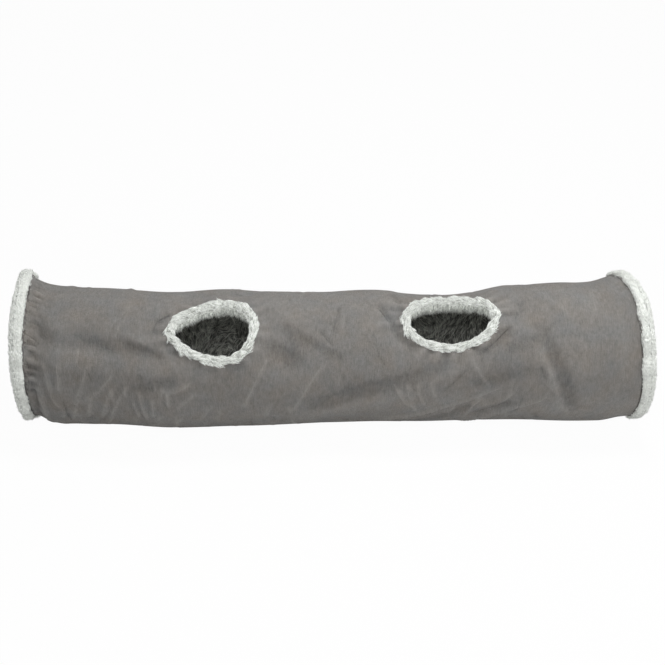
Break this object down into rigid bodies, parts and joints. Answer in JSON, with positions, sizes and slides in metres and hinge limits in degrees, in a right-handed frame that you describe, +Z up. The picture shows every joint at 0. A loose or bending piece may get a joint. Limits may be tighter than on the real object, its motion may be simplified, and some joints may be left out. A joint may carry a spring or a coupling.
{
  "type": "cat tunnel",
  "caption": "Soft fabric play tunnel for a cat, held open by a coiled spring wire, with plush-bound open ends, round windows in the side and a plush lining. It pushes flat along its length.",
  "frame": {"origin": "bottom centre of the box round the tunnel, on the surface that it lies on", "axes": "+X along the tunnel to the right of the picture, -Y the pictured front, +Z up"},
  "size_m": [1.294, 0.3311, 0.309],
  "materials": {
    "suede_cover": "brushed faux suede, matt",
    "dark_plush": "long-pile plush, dark grey",
    "white_plush": "short-pile plush, off-white",
    "spring_steel": "drawn spring wire",
    "sleeve_steel": "crimped sleeve",
    "casing_tape": "woven tape"
  },
  "bodies": {
    "left_end": {"cover_bay_1": "suede_cover", "lining_bay_1": "dark_plush", "end_binding_left": "white_plush", "end_hoop_left": "spring_steel", "hoop_ferrule_left": "sleeve_steel", "spring_clamp_left": "sleeve_steel", "spring_wire": "spring_steel", "wire_casing": "casing_tape"},
    "bay_2": {"cover_bay_2": "suede_cover", "lining_bay_2": "dark_plush", "window_binding_left": "white_plush"},
    "bay_3": {"cover_bay_3": "suede_cover", "lining_bay_3": "dark_plush"},
    "bay_4": {"cover_bay_4": "suede_cover", "lining_bay_4": "dark_plush", "window_binding_right": "white_plush"},
    "right_end": {"cover_bay_5": "suede_cover", "lining_bay_5": "dark_plush", "end_binding_right": "white_plush", "end_hoop_right": "spring_steel", "hoop_ferrule_right": "sleeve_steel", "spring_clamp_right": "sleeve_steel"}
  },
  "joints": [
    {"name": "tunnel_collapse", "type": "slide", "parent": "left_end", "child": "right_end", "axis": [1, 0, 0], "range_m": [-1.205, 0], "stiffness_N_per_m": 4.4, "springref_m": 0.15, "deforming": ["cover_bay_1", "lining_bay_1", "spring_wire", "wire_casing", "cover_bay_5", "lining_bay_5"]},
    {"name": "bay_2_slide", "type": "slide", "parent": "left_end", "child": "bay_2", "axis": [1, 0, 0], "range_m": [-0.3736, 0], "deforming": ["cover_bay_2", "lining_bay_2", "window_binding_left"]},
    {"name": "bay_3_slide", "type": "slide", "parent": "left_end", "child": "bay_3", "axis": [1, 0, 0], "range_m": [-0.6025, 0], "deforming": ["cover_bay_3", "lining_bay_3"]},
    {"name": "bay_4_slide", "type": "slide", "parent": "left_end", "child": "bay_4", "axis": [1, 0, 0], "range_m": [-0.8249, 0], "deforming": ["cover_bay_4", "lining_bay_4", "window_binding_right"]}
  ],
  "couplings": [
    {"joint": "bay_2_slide", "follows": "tunnel_collapse", "ratio": 0.31},
    {"joint": "bay_3_slide", "follows": "tunnel_collapse", "ratio": 0.5},
    {"joint": "bay_4_slide", "follows": "tunnel_collapse", "ratio": 0.6845}
  ]
}
